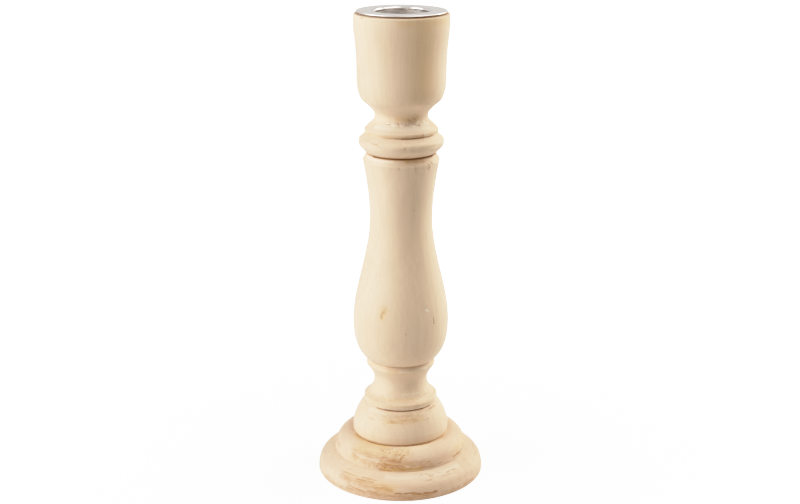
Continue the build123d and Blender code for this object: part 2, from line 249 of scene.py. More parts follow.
def raw_poplar(name, pale, deep, turn, pith):
    """Bare poplar, turned and lightly sanded: matt and silky, with soft streaks along the
    grain, faint lines of the tool, and the blemishes and the light and shade that are painted on
    the piece."""
    wood = blank_material(name)
    place = add_node(wood, "TexCoord")
    # In millimetres, with the grain along the pattern's Z and the pith off the axis.
    along = add_node(wood, "Mapping", Vector=place.outputs["Object"], Location=pith,
                     Rotation=turn, Scale=(1000, 1000, 1000))
    # Growth rings, which cut the surface as long soft bands. They wander by up to 5 mm, in
    # waves about 20 mm wide and 80 mm long.
    ring_gap = 3.4
    bend = add_node(wood, "Mapping", Vector=along.outputs[0], Scale=(0.05, 0.05, 0.012))
    bend_noise = add_node(wood, "TexNoise", Vector=bend.outputs[0], Scale=1.0, Detail=2.0)
    bent = add_node(wood, "VectorMath", {"operation": "MULTIPLY_ADD"}, in_0=bend_noise.outputs[1],
                    in_1=(5, 5, 0), in_2=along.outputs[0])
    across = add_node(wood, "VectorMath", {"operation": "MULTIPLY"}, in_0=bent.outputs[0],
                      in_1=(1, 1, 0))
    distance = add_node(wood, "VectorMath", {"operation": "LENGTH"}, in_0=across.outputs[0])
    rings = add_node(wood, "Math", {"operation": "MULTIPLY"}, in_0=distance.outputs["Value"],
                     in_1=1 / ring_gap)
    ring_part = add_node(wood, "Math", {"operation": "FRACT"}, in_0=rings.outputs[0])
    late = add_node(wood, "MapRange", {"interpolation_type": "SMOOTHSTEP"},
                    Value=ring_part.outputs[0], in_1=0.45, in_2=0.97)
    # Streaks of 0.8 mm by 22 mm, and cloudy patches of 14 mm by 33 mm.
    fibre_place = add_node(wood, "Mapping", Vector=along.outputs[0], Scale=(1.3, 1.3, 0.045))
    fibre = add_node(wood, "TexNoise", Vector=fibre_place.outputs[0], Scale=1.0, Detail=5.0,
                     Roughness=0.6)
    cloud_place = add_node(wood, "Mapping", Vector=along.outputs[0], Scale=(0.07, 0.07, 0.03))
    cloud = add_node(wood, "TexNoise", Vector=cloud_place.outputs[0], Scale=1.0, Detail=2.0)
    late_share = add_node(wood, "Math", {"operation": "MULTIPLY_ADD"}, in_0=late.outputs[0],
                          in_1=0.12, in_2=-0.55)
    streak_share = add_node(wood, "Math", {"operation": "MULTIPLY_ADD"}, in_0=fibre.outputs[0],
                            in_1=1.0, in_2=late_share.outputs[0])
    deep_share = add_node(wood, "Math", {"operation": "MULTIPLY_ADD", "use_clamp": True},
                          in_0=cloud.outputs[0], in_1=0.9, in_2=streak_share.outputs[0])
    body = add_node(wood, "Mix", {"data_type": "RGBA"}, in_0=deep_share.outputs[0],
                    in_6=linear(pale), in_7=linear(deep))
    # Lines of the tool round the piece, about a feed apart. Streaks of 0.3 mm by 4 mm follow
    # them, and with blotches of 2.4 mm they make the stains and the painted shade ragged.
    tool_feed = 0.7 * millimetre
    spot = add_node(wood, "SeparateXYZ", Vector=place.outputs["Object"])
    flat_spot = add_node(wood, "CombineXYZ", X=spot.outputs["X"], Y=spot.outputs["Y"])
    radius = add_node(wood, "VectorMath", {"operation": "LENGTH"}, in_0=flat_spot.outputs[0])
    travel = add_node(wood, "Math", {"operation": "MULTIPLY_ADD"}, in_0=radius.outputs["Value"],
                      in_1=-0.35, in_2=spot.outputs["Z"])
    track = add_node(wood, "TexNoise", {"noise_dimensions": "1D"}, Scale=1 / tool_feed,
                     Detail=2.0, W=travel.outputs[0])
    lathe_place = add_node(wood, "CombineXYZ", X=spot.outputs["X"], Y=spot.outputs["Y"],
                           Z=travel.outputs[0])
    lathe_scale = add_node(wood, "VectorMath", {"operation": "MULTIPLY"},
                           in_0=lathe_place.outputs[0], in_1=(260, 260, 3200))
    streak = add_node(wood, "TexNoise", Vector=lathe_scale.outputs[0], Scale=1.0, Detail=4.0,
                      Roughness=0.7)
    blotch = add_node(wood, "TexNoise", Vector=place.outputs["Object"], Scale=420.0, Detail=3.0,
                      Roughness=0.65)
    # Blemishes and painted light and shade: amber wood with warm painted shade, brown stains in
    # fine streaks with painted shade, fibres that stand up pale with painted highlights and
    # light, torn grain with crumbs of 0.7 mm, and dark splits and knots with painted shade in
    # joints and creases.
    amber_and_warm_painted_shade = add_node(wood, "Attribute", {"attribute_name": "amber_and_warm_painted_shade"})
    warmed = add_node(wood, "Mix", {"data_type": "RGBA"}, in_0=amber_and_warm_painted_shade.outputs["Fac"],
                      in_6=body.outputs[2], in_7=linear("e0b878"))
    stains_and_painted_shade = add_node(wood, "Attribute", {"attribute_name": "stains_and_painted_shade"})
    streak_edge = add_node(wood, "Math", {"operation": "MULTIPLY_ADD"}, in_0=streak.outputs[0],
                           in_1=2.6, in_2=-2.1)
    blotch_edge = add_node(wood, "Math", {"operation": "MULTIPLY_ADD"}, in_0=blotch.outputs[0],
                           in_1=1.6, in_2=streak_edge.outputs[0])
    ragged_edge = add_node(wood, "Math", {"operation": "MULTIPLY_ADD", "use_clamp": True},
                           in_0=stains_and_painted_shade.outputs["Fac"], in_1=1.5, in_2=blotch_edge.outputs[0])
    stain_and_shade_part = add_node(wood, "Math", {"operation": "MULTIPLY", "use_clamp": True},
                            in_0=stains_and_painted_shade.outputs["Fac"], in_1=ragged_edge.outputs[0])
    stain_and_shade_tone = add_node(wood, "MapRange", Value=streak.outputs[0], in_1=0.38, in_2=0.6)
    brown = add_node(wood, "Mix", {"data_type": "RGBA"}, in_0=stain_and_shade_tone.outputs[0],
                     in_6=linear("ca9c6b"), in_7=linear("ab723c"))
    stained_and_shaded = add_node(wood, "Mix", {"data_type": "RGBA"}, in_0=stain_and_shade_part.outputs[0],
                       in_6=warmed.outputs[2], in_7=brown.outputs[2])
    pale_fibres_and_painted_light = add_node(wood, "Attribute", {"attribute_name": "pale_fibres_and_painted_light"})
    pale_fibres_and_light_mix = add_node(wood, "Mix", {"data_type": "RGBA"}, in_0=pale_fibres_and_painted_light.outputs["Fac"],
                       in_6=stained_and_shaded.outputs[2], in_7=linear("fff3dd"))
    crumb_place = add_node(wood, "Mapping", Vector=along.outputs[0], Scale=(1.5, 1.5, 1.0))
    crumb = add_node(wood, "TexNoise", Vector=crumb_place.outputs[0], Scale=1.0, Detail=3.0,
                     Roughness=0.7)
    torn = add_node(wood, "Attribute", {"attribute_name": "torn"})
    specky = add_node(wood, "MapRange", Value=crumb.outputs[0], in_1=0.46, in_2=0.36)
    speck_part = add_node(wood, "Math", {"operation": "MULTIPLY", "use_clamp": True},
                          in_0=torn.outputs["Fac"], in_1=specky.outputs[0])
    specked = add_node(wood, "Mix", {"data_type": "RGBA"}, in_0=speck_part.outputs[0],
                       in_6=pale_fibres_and_light_mix.outputs[2], in_7=linear("a9702f"))
    dark_marks_and_painted_shade = add_node(wood, "Attribute", {"attribute_name": "dark_marks_and_painted_shade"})
    tan_part = add_node(wood, "MapRange", Value=dark_marks_and_painted_shade.outputs["Fac"], in_1=0.0, in_2=0.6)
    tanned = add_node(wood, "Mix", {"data_type": "RGBA"}, in_0=tan_part.outputs[0],
                      in_6=specked.outputs[2], in_7=linear("b5804c"))
    dark_part = add_node(wood, "MapRange", Value=dark_marks_and_painted_shade.outputs["Fac"], in_1=0.45, in_2=1.0)
    skin = add_node(wood, "Mix", {"data_type": "RGBA"}, in_0=dark_part.outputs[0],
                    in_6=tanned.outputs[2], in_7=linear("5a2600"))
    rough = add_node(wood, "MapRange", Value=fibre.outputs[0], in_3=0.52, in_4=0.7)
    # Split and stained wood, and the shade painted in these layers, has no silk left, so it stays
    # a warm brown in any light.
    marked = add_node(wood, "Math", {"operation": "MAXIMUM"}, in_0=stain_and_shade_part.outputs[0],
                      in_1=dark_marks_and_painted_shade.outputs["Fac"])
    silk = add_node(wood, "MapRange", Value=marked.outputs[0], in_1=0.0, in_2=0.6, in_3=0.25,
                    in_4=0.0)
    gloss = add_node(wood, "MapRange", Value=marked.outputs[0], in_1=0.0, in_2=0.6, in_3=0.5,
                     in_4=0.1)
    shader = add_node(wood, "BsdfPrincipled", Base_Color=skin.outputs[2], IOR=1.5,
                      Roughness=rough.outputs[0], Specular_IOR_Level=gloss.outputs[0],
                      Sheen_Weight=silk.outputs[0], Sheen_Roughness=0.5)
    lined = add_node(wood, "Bump", Strength=0.35, Distance=0.00008, Height=track.outputs[0])
    silky = add_node(wood, "Bump", Strength=0.5, Distance=0.00012, Height=fibre.outputs[0],
                     Normal=lined.outputs[0])
    ragged = add_node(wood, "Bump", Strength=torn.outputs["Fac"], Distance=0.00012,
                      Height=crumb.outputs[0], Normal=silky.outputs[0])
    wood.node_tree.links.new(ragged.outputs[0], shader.inputs["Normal"])
    add_node(wood, "OutputMaterial", Surface=shader.outputs[0])
    return wood


def finish_piece(piece, node, body, material):
    """Gives a finished piece its shading, material, slot and CAD body, and hides the CAD
    node that it stands in for.
    """
    take(piece)
    bpy.ops.object.shade_smooth_by_angle(angle=math.radians(35))
    piece.data.materials.clear()
    piece.data.materials.append(material)
    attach(piece, body)
    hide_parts(node)


base_height = 18.2
dowel_hole, dowel_hole_floor = 5.05, 8.2
screw_hole, countersink, countersink_depth = 2.1, 5.1, 3.2
# The extra points on the flat seat carry the painted shade of the joint's dark line.
base_disc = turn_piece("base_disc", 0, [
    (countersink, 0), (35.6, 0, 0), (36.14, 0.45, 94), (33.65, 6.82, 145),
    (28.75, 9.95, 157, 78), (28.62, 11.2, 100), (22.4, base_height, 166), (21.6, base_height),
    (20.95, base_height), (20.6, base_height), (20.0, base_height), (dowel_hole, base_height),
    (dowel_hole, dowel_hole_floor), (screw_hole, dowel_hole_floor),
    (screw_hole, countersink_depth), (countersink, 0)], facets=320)
# Splits and nicks in the band, veins and three torn patches on the step's slope.
base_slits = alike(0.35, 0.08, [
    ((-38, 35.0, 5.1), (-38.5, 35.5, 4.1)), ((-38, 35.6, 3.8), (-34, 35.7, 3.3)),
    ((15, 30.9, 8.6), (18, 30.3, 9.0)), ((20, 30.3, 9.0), (23, 30.9, 8.6)),
    ((38, 31.9, 8.0), (41, 31.6, 8.2)), ((44, 31.6, 8.2), (47, 32.0, 8.0))])
base_slits += strokes(50, 9, (-34, 33.5, 7.0), (-22, 33.9, 6.5), 2.0, 0.3, 0.35, 0.08)
base_slits += strokes(51, 10, (-34, 35.7, 3.4), (-16, 35.9, 2.8), 1.4, 0.4, 0.35, 0.08)
base_slits += strokes(52, 6, (12, 30.2, 9.0), (34, 31.4, 8.3), 1.0, 0.9, 0.35, 0.08)
base_nicks = strokes(1, 14, (-4, 35.62, 3.75), (9, 35.72, 3.4), 1.5, 0.12, 0.25, 0.06)
base_nicks += strokes(2, 18, (8, 35.72, 3.35), (24, 35.88, 2.75), 1.5, 0.12, 0.25, 0.06)
base_veins = strokes(3, 36, (-18, 27.0, 14.7), (-1, 28.6, 11.2), 1.5, -1.2, 0.4, 0.12)
base_tears = [
    ((-14, 26.6, 15.2), (2, 26.8, 15.0), 1.6, 0), ((-18, 28.1, 12.6), (-6, 28.3, 12.2), 1.6, 0),
    ((-17, 24.6, 17.0), (7, 24.8, 16.9), 2.0, 0)]
nicked_band = ((-6, 35.7, 3.5), (24, 35.8, 2.9), 0.8, 0)
refine(base_disc, base_slits + base_tears + [nicked_band])
tear(base_disc, base_tears)
dent(base_disc, base_slits + base_veins + base_nicks)
# Warm and brown wood on the left and the front of the step, the joint's dark line and the
# bottom edge as painted shade, specks where the grain was torn, pale fibres that stand up, and a
# painted highlight along the nose.
paint_layer(base_disc, "amber_and_warm_painted_shade", [
    ((-42, 25.2, 16.6), (4, 24.8, 16.9), 3.0, 0.42),
    ((-46, 28.3, 12.2), (4, 28.3, 12.2), 2.4, 0.25),
    # The amber on the seat beside the plinth, here and on the right, is painted warm shade by the
    # joint.
    ((-64, 21.6, 18.2), (-14, 22.0, 18.2), 1.3, 0.9),
    ((-14, 28.6, 11.0), (18, 28.6, 11.0), 1.0, 0.9),
    ((20, 21.4, 18.2), (66, 21.4, 18.2), 0.6, 0.5), ((-16, 34.8, 5.4), (-5, 35.2, 4.8), 2.2, 0.5),
    ((-40, 33.6, 6.9), (-12, 34.0, 6.3), 2.2, 0.2),
    ((60, 27.4, 14.2), (110, 27.8, 13.5), 2.0, 0.4),
    ((-150, 31.0, 8.6), (-100, 31.6, 8.2), 2.4, 0.3)])
paint_layer(base_disc, "stains_and_painted_shade", [
    ((-12, 27.2, 14.4), (0, 27.5, 14.0), 1.5, 0.75),
    ((-18, 28.2, 12.6), (-9, 28.3, 12.2), 1.3, 0.7),
    ((-15, 28.2, 12.7), (2, 28.4, 12.0), 1.4, 0.9),
    ((-15, 28.6, 11.1), (4, 28.6, 11.1), 0.9, 0.6),
    ((-46, 26.6, 15.2), (-13, 27.0, 14.7), 2.4, 0.48),
    ((-17, 28.7, 10.7), (-8, 28.7, 10.7), 0.9, 0.8),
    ((0, 27.7, 13.7), (26, 27.9, 13.2), 1.6, 0.55),
    ((26, 27.9, 13.2), (60, 28.0, 13.0), 1.8, 0.35),
    ((-6, 28.6, 11.4), (30, 28.6, 11.4), 0.5, 0.7),
    ((-46, 27.9, 13.2), (-18, 28.2, 12.6), 2.0, 0.48),
    ((-46, 34.5, 5.8), (-10, 34.9, 5.0), 1.9, 0.56),
    ((-38, 35.9, 2.6), (24, 35.9, 2.2), 1.5, 0.57),
    ((-110, 28.2, 12.6), (-70, 28.0, 13.0), 1.8, 0.45),
    ((30, 35.2, 4.9), (80, 35.4, 4.4), 1.8, 0.2), ((-12, 34.8, 5.4), (-6, 35.4, 4.4), 1.4, 0.6),
    # The band along the bottom edge at the front is painted shade near the floor.
    ((-64, 36.0, 1.4), (60, 36.0, 1.4), 1.5, 0.45),
    ((170, 34.6, 5.6), (235, 34.9, 5.0), 1.6, 0.5)]
    + strokes(15, 34, (-16, 26.3, 15.6), (2, 27.9, 13.3), 1.8, -0.8, 0.24, 1.0)
    + strokes(16, 26, (-21, 27.6, 13.8), (-7, 28.6, 11.2), 1.5, -1.2, 0.22, 1.0)
    + strokes(17, 30, (0, 27.2, 14.4), (34, 28.4, 12.0), 4.0, 0.05, 0.24, 0.85)
    + strokes(4, 30, (20, 26.4, 15.4), (84, 28.5, 11.6), 6.0, 0.05, 0.17, 0.9)
    + strokes(5, 40, (-90, 29.6, 9.4), (90, 33.5, 7.0), 5.0, 0.04, 0.17, 0.75)
    + strokes(6, 36, (-80, 34.2, 6.2), (80, 36.0, 2.0), 5.0, 0.05, 0.17, 0.75)
    + strokes(7, 50, (95, 27.0, 14.7), (265, 35.8, 3.0), 7.0, 0.02, 0.2, 0.7))
paint_layer(base_disc, "dark_marks_and_painted_shade", alike(0.18, 0.5, base_slits) + alike(0.19, 0.6, base_veins)
    + alike(0.2, 0.6, base_nicks) + [
    # The two lines at 20.95 mm are painted shade in the joint under the plinth, and the faint
    # ring at the bottom edge is painted shade where the base meets the floor.
    ((-42, 20.95, 18.2), (38, 20.95, 18.2), 0.25, 0.75),
    ((-66, 20.95, 18.2), (62, 20.95, 18.2), 0.24, 0.4),
    ((-6, 28.6, 10.9), (46, 28.6, 10.9), 0.3, 0.25), ring(36.1, 0.3, 1.2, 0.1)]
    + strokes(18, 90, (-17, 23.2, 17.9), (7, 26.2, 15.7), 0.3, 1.5, 0.17, 0.42)
    + strokes(8, 30, (-44, 34.9, 5.2), (-14, 35.7, 3.4), 0.6, 0.8, 0.14, 0.45)
    + strokes(9, 18, (-34, 28.3, 12.2), (-16, 28.6, 10.9), 0.7, 0.8, 0.14, 0.45)
    + strokes(10, 22, (48, 28.2, 12.8), (80, 28.6, 11.4), 0.6, 0.8, 0.14, 0.5))
paint_layer(base_disc, "torn", [(*mark[:3], 0.9) for mark in base_tears])
paint_layer(base_disc, "pale_fibres_and_painted_light", [
    ((-16, 28.0, 12.9), (-8, 28.6, 11.1), 0.2, 0.4),
    # The broad band along the nose at 31 mm is a painted highlight.
    ((-10, 31.0, 8.6), (52, 31.2, 8.5), 1.4, 0.3)]
    + strokes(11, 44, (-13, 23.2, 17.9), (8, 26.0, 16.0), 1.0, 1.0, 0.16, 0.6)
    + strokes(12, 26, (-18, 26.6, 15.2), (0, 28.4, 12.0), 1.0, -1.2, 0.13, 0.45)
    + strokes(13, 24, (-60, 24.5, 17.1), (-16, 27.6, 13.9), 4.0, 0.1, 0.22, 0.35)
    + strokes(14, 24, (12, 24.0, 17.4), (80, 27.0, 14.7), 5.0, 0.06, 0.2, 0.4))
plank_poplar = raw_poplar("raw poplar plank", "e7caac", "d3b08b", (0, math.radians(90), 0),
                          (0, 0, 60))
finish_piece(base_disc, "base", "stand", plank_poplar)

# Plinth. A short drum of poplar with a domed top and the grain upright, bored through for
# the long dowel and glued on the base.

plinth_foot, plinth_height = base_height, 14.0
plinth = turn_piece("domed_plinth", plinth_foot, [
    (dowel_hole, 0), (17.4, 0), (20.35, 0.1), (20.66, 0.4, 90), (20.72, 3.4, 91, 100),
    (15.7, plinth_height, 130), (dowel_hole, plinth_height), (dowel_hole, 0)])
# A brown patch with fine streaks on the dome, and the dark joints above and below as painted
# shade.
paint_layer(plinth, "stains_and_painted_shade", [
    ((-26, 17.2, 30.0), (16, 17.0, 30.4), 1.4, 0.45),
    ((-12, 18.0, 28.8), (22, 18.0, 28.8), 1.4, 0.45),
    ((120, 18.6, 27.6), (200, 18.4, 28.0), 1.2, 0.5)]
    + strokes(23, 16, (-26, 16.5, 31.1), (18, 17.8, 29.1), 4.0, 0.05, 0.22, 0.6)
    + strokes(20, 26, (-60, 16.2, 31.5), (70, 18.6, 27.8), 7.0, 0.05, 0.2, 0.6)
    + strokes(21, 22, (80, 16.2, 31.5), (290, 19.6, 25.0), 8.0, 0.03, 0.2, 0.5))
paint_layer(plinth, "amber_and_warm_painted_shade", [
    ring(20.4, 18.7, 0.6, 0.5), ((-20, 18.4, 28.0), (30, 18.0, 28.8), 1.6, 0.35)])
# The ring round the foot and the lines at the dome's edge are painted shade in the joints.
paint_layer(plinth, "dark_marks_and_painted_shade", [
    ring(20.5, 18.3, 0.2, 0.5), ((-26, 15.75, 32.15), (38, 15.75, 32.15), 0.3, 0.8),
    ((-40, 15.75, 32.15), (54, 15.75, 32.15), 0.28, 0.55)])
paint_layer(plinth, "pale_fibres_and_painted_light",
        strokes(22, 10, (-56, 16.2, 31.4), (-26, 16.8, 30.7), 1.8, 0.3, 0.17, 0.45))
column_poplar = raw_poplar("raw poplar", "eed2b1", "dcbc98", (0, 0, 0), (9, 31, 0))
finish_piece(plinth, "plinth", "stand", column_poplar)

# Spool. Turned from poplar with a ring at its foot, a deep cove cut with a gouge, and a thin
# cap. It is bored through for the long dowel and glued between the plinth and the baluster.

spool_foot, spool_height = plinth_foot + plinth_height, 19.0
spool = turn_piece("turned_spool", spool_foot, [
    (dowel_hole, 0), (13.0, 0), (15.4, 0.08), (15.78, 0.35, 86), (15.88, 2.3, 92, 112),
    (15.5, 2.72, 146), (14.5, 3.5, 148), (12.2, 6.6, 120), (11.52, 9.8, 90), (12.48, 13.3, 66),
    (14.78, 16.8, 60, 90), (14.78, 17.5, 90), (14.36, 18.0), (13.94, 18.5),
    (13.5, spool_height), (dowel_hole, spool_height), (dowel_hole, 0)])
# The end grain at the foot of the cove is torn, and pale fibres stand up there. The joint at
# the foot is painted dark as shade, with painted light at its left and on the cap.
spool_tears = strokes(30, 5, (-30, 12.6, 38.4), (-16, 13.8, 36.4), 0.9, 1.2, 0.4, 0.1)
spool_tears += strokes(31, 9, (8, 12.7, 38.2), (46, 13.8, 36.5), 1.6, 0.5, 0.4, 0.1)
refine(spool, spool_tears)
dent(spool, spool_tears)
# The line round the foot at 15.4 mm is painted shade in the joint.
paint_layer(spool, "stains_and_painted_shade", [
    ((-20, 15.4, 32.35), (180, 15.4, 32.35), 0.25, 0.4)]
    + strokes(32, 16, (-60, 13.2, 37.2), (60, 15.5, 34.8), 6.0, 0.05, 0.17, 0.6)
    + strokes(33, 18, (80, 12.4, 38.6), (280, 15.6, 34.8), 6.0, 0.05, 0.2, 0.5))
paint_layer(spool, "amber_and_warm_painted_shade", [
    ((-20, 14.78, 49.4), (35, 14.78, 49.4), 0.9, 0.35),
    ((-60, 15.86, 34.2), (60, 15.86, 34.2), 0.5, 0.3),
    ((-40, 13.9, 36.4), (30, 13.9, 36.4), 0.6, 0.4)])
# The line at the foot at 15.3 mm is painted shade in the joint.
paint_layer(spool, "dark_marks_and_painted_shade", alike(0.14, 0.3, spool_tears) + [
    ((-14, 15.3, 32.3), (25, 15.3, 32.3), 0.25, 0.4)])
paint_layer(spool, "pale_fibres_and_painted_light", [
    ((4, 12.5, 38.5), (40, 12.6, 38.4), 0.25, 0.5),
    # A painted highlight at the joint's left, and painted light on the cap over the baluster's
    # shadow.
    ((-85, 15.4, 32.4), (-26, 15.4, 32.4), 0.4, 1.0),
    ((0, 14.4, 50.2), (50, 14.4, 50.2), 1.0, 0.5)]
    + strokes(34, 16, (6, 12.7, 38.2), (46, 13.8, 36.5), 1.2, 0.8, 0.16, 0.6)
    + strokes(35, 8, (-34, 12.7, 38.2), (-14, 13.9, 36.4), 1.0, 1.0, 0.15, 0.5))
finish_piece(spool, "spool", "stand", column_poplar)

# Baluster. The long vase of the column, turned from one billet of poplar with the grain
# upright, and bored at both ends for the dowels. A pin knot and small splits show on its
# belly and at its head.

baluster_foot, baluster_height = spool_foot + spool_height, 91.2
foot_hole_top, head_hole_floor = 17, 75.2
baluster = turn_piece("turned_baluster", baluster_foot, [
    (0, foot_hole_top), (dowel_hole, foot_hole_top), (dowel_hole, 0), (11.5, 0), (13.6, 0.28),
    (14.15, 0.5, 33), (18.05, 4.9, 63), (20.42, 17.9, 90), (16.47, 41.46, 103),
    (13.2, 63.2, 90), (15.8, 86.8, 80), (16.05, 88.2, 100), (15.4, 89.5, 117, 118),
    (15.15, 89.95), (14.9, 90.4), (14.68, 90.8), (14.45, baluster_height),
    (dowel_hole, baluster_height), (dowel_hole, head_hole_floor), (0, head_hole_floor)])
# Splits at the head and along the body, a pin knot on the left of the belly and a chip on
# its right, with the fibre that the chip pushed up and a painted highlight on it.
baluster_slits = alike(0.35, 0.2, [
    ((21.5, 15.95, 140.0), (22, 15.7, 137.0)), ((43.5, 15.9, 139.8), (44.5, 15.6, 137.0)),
    ((46, 15.95, 139.6), (46.5, 15.7, 138.0)), ((42, 20.2, 75.0), (42.5, 20.3, 71.8)),
    ((-12.5, 13.9, 114.3), (-10.5, 13.9, 115.2)), ((-10.5, 13.9, 115.2), (-8, 13.9, 114.2)),
    ((-29, 13.9, 114.5), (-27.5, 13.9, 114.3)), ((22, 13.5, 120.4), (22.5, 13.5, 119.9)),
    ((-27, 14.2, 107.0), (-26, 14.2, 106.7)), ((6, 20.4, 69.6), (6.5, 20.4, 68.6)),
    ((47, 17.6, 95.4), (47.5, 17.7, 94.2)), ((-3, 16.0, 139.2), (-2.5, 15.9, 138.4)),
    ((-18.5, 19.5, 80.4), (-21, 19.8, 78.0)), ((160, 18.6, 88.0), (160.5, 18.8, 85.5)),
    ((-130, 14.0, 124.0), (-130.5, 14.0, 122.0))])
baluster_pits = [
    ((49, 15.6, 140.6), (52, 15.9, 139.5), 0.6, 0.25),
    ((-23, 20.0, 75.9), (-22, 19.9, 77.4), 1.1, 0.25),
    ((31.5, 19.7, 80.0), (34.5, 19.8, 78.8), 0.9, 0.5)]
refine(baluster, baluster_slits + baluster_pits)
dent(baluster, baluster_slits + baluster_pits)
dent(baluster, [((33, 19.9, 77.6), (35.5, 19.9, 77.8), 0.7, -0.3)])
paint_layer(baluster, "amber_and_warm_painted_shade", [
    ((-22.5, 19.9, 76.0), (-20, 19.7, 79.0), 1.8, 0.5),
    ((6, 15.0, 141.6), (40, 15.2, 141.2), 0.8, 0.5),
    ((-50, 14.6, 52.2), (30, 14.6, 52.2), 0.7, 0.45)])
# The ring round the foot at 14 mm is painted shade in the joint.
paint_layer(baluster, "stains_and_painted_shade", [
    ring(14.0, 51.6, 0.25, 0.6), ((8, 15.1, 141.5), (36, 15.3, 141.1), 0.6, 0.45),
    ((-22.5, 19.9, 75.8), (-21.5, 19.8, 78.2), 0.9, 0.45)])
# The ring and the line at the top, at 14.1 and 14.5 mm, are painted shade under the collar.
paint_layer(baluster, "dark_marks_and_painted_shade", alike(0.22, 0.3, baluster_slits) + [
    ((-20, 19.6, 79.4), (-18.5, 19.5, 80.6), 0.2, 0.4),
    ((-23.2, 20.0, 75.4), (-22.6, 20.0, 76.8), 0.3, 0.35),
    ((49, 15.6, 140.6), (52, 15.9, 139.5), 0.26, 0.35),
    ((30.3, 19.7, 79.0), (31, 19.65, 80.7), 0.28, 0.5),
    ((31, 19.65, 80.7), (34, 19.65, 80.8), 0.28, 0.5),
    ((32.8, 19.7, 80.2), (33.6, 19.7, 79.8), 0.32, 0.7), ring(14.1, 142.4, 0.45, 0.95),
    ((-52, 14.5, 142.3), (60, 14.5, 142.3), 0.4, 0.9)])
# The pale paint by the chip is a painted highlight.
paint_layer(baluster, "pale_fibres_and_painted_light", [
    ((31.6, 19.75, 80.2), (32.2, 19.85, 78.6), 0.4, 1.0),
    ((32.2, 19.85, 78.6), (35.8, 19.9, 78.0), 0.45, 1.0),
    ((-70, 15.1, 141.4), (-14, 15.1, 141.4), 0.6, 0.4)])
finish_piece(baluster, "baluster", "stand", column_poplar)

# Socket. The top of the column in one piece of poplar: a bead and a fillet as its collar, a
# short neck where the tool tore the grain, and the bowl that is bored for the metal cup.

socket_foot = baluster_foot + baluster_height
collar_hole_top, cup_hole, cup_hole_floor = 16, 12.0, 33.6
socket = turn_piece("turned_socket", socket_foot, [
    (0, collar_hole_top), (dowel_hole, collar_hole_top), (dowel_hole, 0), (11.5, 0),
    (14.3, 0.12), (14.85, 0.34, 54), (17.75, 4.06, 85), (17.17, 6.32, 144), (14.95, 8.45, 135),
    (14.75, 8.75, 80), (15.3, 8.98, 20, 90), (15.32, 9.95, 90), (14.95, 10.4, 140),
    (13.4, 12.0, 139), (11.1, 15.3, 90), (11.1, 15.6, 90), (13.5, 19.5, 46),
    (16.87, 22.78, 62), (18.42, 31.5, 90), (18.47, 34, 90), (18.91, 44, 85), (19.68, 53, 90),
    (19.68, 56.4, 90), (19.2, 57.05, 172), (18.5, 56.95), (17.0, 57.3), (13.4, 57.4),
    (cup_hole, 56.2), (cup_hole, cup_hole_floor), (0, cup_hole_floor)])
# The neck's grain is torn all along its front, and the collar and bowl have fine splits. Shade
# is painted into the joint, the ring's crease and side, under the flange and on the bowl's
# shaded side, and light onto the neck's cone and the ring's edge.
socket_slits = alike(0.35, 0.12, [
    ((21, 11.1, 157.3), (27, 11.7, 156.1)), ((27, 11.7, 156.1), (31, 12.4, 155.3)),
    ((14, 11.0, 158.1), (18, 11.1, 157.2)), ((26, 11.05, 158.4), (31, 11.1, 157.6)),
    ((-8, 11.3, 156.7), (-4, 11.7, 156.0)), ((-4, 11.7, 156.0), (-5, 12.2, 155.4)),
    ((-29, 11.6, 156.0), (-22, 11.7, 155.9)), ((7, 11.9, 155.8), (15, 12.1, 155.6)),
    ((35, 11.9, 155.8), (39, 12.3, 155.3)), ((34, 15.3, 152.4), (36, 15.35, 151.3)),
    ((41, 12.6, 159.4), (57, 14.2, 161.2)), ((-43, 17.3, 148.6), (-34, 17.45, 148.3)),
    ((-34, 17.45, 148.3), (-28, 17.6, 147.5)), ((-75, 17.5, 147.9), (-58, 17.5, 147.7)),
    ((50, 19.3, 182.6), (49, 19.3, 182.0)), ((50, 19.0, 177.4), (51.5, 19.0, 175.8)),
    ((4.5, 17.7, 147.0), (5.2, 17.65, 147.8))])
socket_slits += strokes(40, 8, (12, 11.1, 157.8), (44, 12.3, 155.3), 0.8, 1.4, 0.3, 0.09)
socket_pits = [((-55, 19.6, 199.2), (-52, 19.65, 198.8), 0.6, 0.4)]
socket_tears = [
    ((14, 11.3, 156.7), (56, 12.2, 155.6), 1.1, 0),
    ((-40, 11.7, 156.0), (10, 11.8, 155.8), 0.6, 0)]
refine(socket, socket_slits + socket_pits + socket_tears)
tear(socket, socket_tears)
dent(socket, socket_slits + socket_pits)
# Painted warm shade: the broad patch on the bowl's shaded side, the ring's side at 151.8 mm, and
# the band under the collar at 143.2 mm.
paint_layer(socket, "amber_and_warm_painted_shade", [
    ((27, 19.6, 196.0), (29, 18.4, 170.0), 6.5, 0.42),
    ((0, 19.7, 197.6), (66, 19.7, 197.4), 1.5, 0.5), ring(15.32, 151.8, 0.7, 0.3),
    ((-8, 11.2, 158.2), (36, 11.2, 158.2), 1.2, 0.5),
    ((-12, 13.2, 153.9), (0, 13.2, 153.9), 1.5, 0.3),
    ((-20, 15.0, 143.2), (40, 15.0, 143.2), 0.5, 0.5),
    ((0, 16.0, 146.0), (60, 16.0, 146.0), 1.0, 0.25)])
